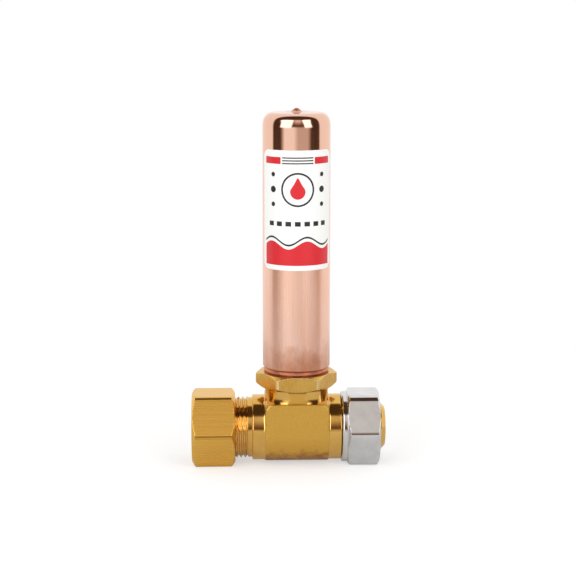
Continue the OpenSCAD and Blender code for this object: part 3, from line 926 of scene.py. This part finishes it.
def sheet_white():
    """Matt white, lighter to the eye, and a little lighter in reflections, than the lamps alone
    would make it."""
    material, tree, shader = finish("sheet_white", "c4c4c4", 0.0, 0.9)
    path = tree.nodes.new("ShaderNodeLightPath")
    mirrored = worked(tree, "ADD", path.outputs["Is Glossy Ray"], path.outputs["Is Transmission Ray"])
    mirrored = worked(tree, "MULTIPLY", mirrored, glow_mirrored)
    direct = worked(tree, "MULTIPLY", path.outputs["Is Camera Ray"], glow_direct)
    shader.inputs["Emission Color"].default_value = (1, 1, 1, 1)
    tree.links.new(worked(tree, "ADD", direct, mirrored), shader.inputs["Emission Strength"])
    return material


floor_turn = np.linspace(0, 2 * np.pi, 96, endpoint=False)
floor_mesh = bpy.data.meshes.new("floor")
floor_mesh.from_pydata(
    np.stack([floor_r * np.cos(floor_turn), floor_r * np.sin(floor_turn), 0 * floor_turn], axis=1),
    [], [range(len(floor_turn))])
floor_mesh.materials.append(sheet_white())
floor = bpy.data.objects.new("floor", floor_mesh)
bpy.context.scene.collection.objects.link(floor)

# Light
# Two upright soft boxes in front, to the left and right of the camera, in a room that is white
# behind the part and beside it, and dark in front and overhead.

# A panel's sides are in degrees from straight in front, and so is how softly they fade.
lamp_far = 1.1
left_power = 4.5
right_power = 3.5
box_left = {
    "left": -58.8, "right": -19.8, "low": 2, "high": 44, "slant": -0.2, "rise": 0.45, "soft": 3, "light": 2.2}
box_right = {
    "left": 26, "right": 51, "low": 2, "high": 44, "slant": 0.22, "rise": 0.45, "soft": 3, "light": 2.2}
bridge = {
    "left": -12, "right": 17, "low": 20, "high": 51, "slant": 0.0, "rise": 0.0, "soft": 9, "fade": 14,
    "light": 0.7}
low_left = {"left": -50, "right": -4, "low": -9, "high": 3, "soft": 7, "light": 0.93}
low_right = {"left": -4, "right": 43, "low": -9, "high": 3, "soft": 7, "light": 0.57}
table_left = {"left": -80, "right": 0, "low": -80, "high": -9, "soft": 5, "light": 1.0}
table_right = {"left": 0, "right": 78, "low": -80, "high": -9, "soft": 5, "light": 1.1}
firmest = 3
white_turn = 0.06
white_from, white_full = -0.15, -0.04
dark_above = 0.3
warm_share = 0.8
warm_from, warm_full = 60, 76
warm_fade, warm_gone = 86, 94
warm_low, warm_high = -8, -5
dark_room = 0.08
dark_tint = "ecba98"
even_light = 0.8


def soft_box(name, panel, power):
    """A lamp over the middle of one of the room's panels, turned to the part. Metal shows the panel
    instead of it."""
    tall = np.radians(panel["high"] - panel["low"])
    rise = np.radians(panel["low"]) + tall / 2
    side = np.radians((panel["left"] + panel["right"]) / 2) - panel["slant"] * tall / 2
    away = np.array([np.sin(side), -np.cos(side) * np.cos(rise), np.cos(side) * np.sin(rise)])
    lamp = bpy.data.lights.new(name, "AREA")
    lamp.shape = "RECTANGLE"
    lamp.size = lamp_far * np.radians(panel["right"] - panel["left"])
    lamp.size_y = lamp_far * tall
    lamp.energy = power
    box = bpy.data.objects.new(name, lamp)
    box.location = away * lamp_far + (0, 0, run_z)
    box.rotation_euler = Vector(away).to_track_quat("Z", "Y").to_euler()
    box.visible_glossy = False
    bpy.context.scene.collection.objects.link(box)


soft_box("lamp_left", box_left, left_power)
soft_box("lamp_right", box_right, right_power)


def room():
    """The world. Cameras see white. Metal sees the room: panels of light on a dark brown ground that
    is white from the sides to the back, and warm at both ends of the low panels. A low panel lies
    between two bearings and two elevations. A high one lies between two angles to the side and two
    up and over from the front; its upright edges lean by the slant, and its top rises to the side.
    Everything else gets an even light."""
    world = bpy.data.worlds.new("room")
    world.use_nodes = True
    tree = world.node_tree
    place = tree.nodes.new("ShaderNodeTexCoord")
    axes = tree.nodes.new("ShaderNodeSeparateXYZ")
    tree.links.new(place.outputs["Generated"], axes.inputs["Vector"])
    degree = float(np.degrees(1))
    to_front = worked(tree, "MULTIPLY", axes.outputs["Y"], -1.0)
    sideways = worked(tree, "MULTIPLY", worked(tree, "ARCSINE", axes.outputs["X"], 0.0), degree)
    pitch = worked(tree, "MULTIPLY", worked(tree, "ARCTAN2", axes.outputs["Z"], to_front), degree)
    bearing = worked(tree, "MULTIPLY", worked(tree, "ARCTAN2", axes.outputs["X"], to_front), degree)
    elevation = worked(tree, "MULTIPLY", worked(tree, "ARCSINE", axes.outputs["Z"], 0.0), degree)
    overhead = worked(tree, "POWER", worked(tree, "MAXIMUM", axes.outputs["Z"], 0.0), 2.0)
    overhead = worked(tree, "MULTIPLY", overhead, dark_above)
    behind = worked(tree, "ADD", axes.outputs["Y"], worked(tree, "MULTIPLY", axes.outputs["X"], white_turn))
    light = worked(tree, "SUBTRACT", behind, overhead)
    light = between(tree, light, dark_room, 1, white_from, white_full)
    for panel in (box_left, box_right, bridge, low_left, low_right, table_left, table_right):
        soft, firm = panel["soft"], min(panel["soft"], firmest)
        fade = panel.get("fade", firm)
        across, up, top = bearing, elevation, elevation
        if "slant" in panel:
            above = worked(tree, "SUBTRACT", pitch, panel["low"])
            leaning = worked(tree, "MULTIPLY", above, panel["slant"])
            across, up = worked(tree, "ADD", sideways, leaning), pitch
            risen = worked(tree, "MULTIPLY", worked(tree, "ABSOLUTE", sideways, 0.0), panel["rise"])
            top = worked(tree, "SUBTRACT", pitch, risen)
        shown = between(tree, across, 0, panel["light"], panel["left"] - soft, panel["left"] + soft)
        for edge in (
            between(tree, across, 1, 0, panel["right"] - soft, panel["right"] + soft),
            between(tree, up, 0, 1, panel["low"] - fade, panel["low"] + fade),
            between(tree, top, 1, 0, panel["high"] - firm, panel["high"] + firm),
        ):
            shown = worked(tree, "MULTIPLY", shown, edge)
        light = worked(tree, "ADD", light, shown)
    path = tree.nodes.new("ShaderNodeLightPath")
    mix = tree.nodes.new("ShaderNodeMix")
    mix.inputs["A"].default_value = even_light
    tree.links.new(path.outputs["Is Glossy Ray"], mix.inputs["Factor"])
    tree.links.new(light, mix.inputs["B"])
    direct = worked(tree, "ADD", path.outputs["Is Camera Ray"], path.outputs["Is Transmission Ray"])
    seen = worked(tree, "MAXIMUM", direct, mix.outputs["Result"])
    tree.links.new(seen, tree.nodes["Background"].inputs["Strength"])
    aside = worked(tree, "ABSOLUTE", bearing, 0.0)
    warm = between(tree, aside, 0, warm_share, warm_from, warm_full)
    warm = worked(tree, "MULTIPLY", warm, between(tree, aside, 1, 0, warm_fade, warm_gone))
    warm = worked(tree, "MULTIPLY", warm, between(tree, elevation, 1, 0, warm_low, warm_high))
    pale = worked(tree, "SUBTRACT", between(tree, seen, 0, 1, dark_room, 1), warm)
    pale = worked(tree, "MAXIMUM", pale, worked(tree, "SUBTRACT", 1.0, path.outputs["Is Glossy Ray"]))
    tree.links.new(tinted(tree, pale, dark_tint, "ffffff"), tree.nodes["Background"].inputs["Color"])
    return world


bpy.context.scene.world = room()
bpy.context.scene.view_settings.view_transform = "Standard"

# Camera
# It stands a little above the part and a little to the left of straight in front.
camera_far = 530 * mm
camera_pitch = np.radians(10.5)
camera_turn = np.radians(-2.0)
aim = np.array([-0.05 * mm, 0, 59.04 * mm])
eye = np.array([
    np.sin(camera_turn) * np.cos(camera_pitch),
    -np.cos(camera_turn) * np.cos(camera_pitch),
    np.sin(camera_pitch),
])
lens = bpy.data.cameras.new("camera")
lens.sensor_width = 36
lens.lens = 100.4
lens.clip_start = 0.01
camera = bpy.data.objects.new("camera", lens)
camera.location = aim + eye * camera_far
camera.rotation_euler = (np.pi / 2 - camera_pitch, 0, camera_turn)
bpy.context.scene.collection.objects.link(camera)
bpy.context.scene.camera = camera
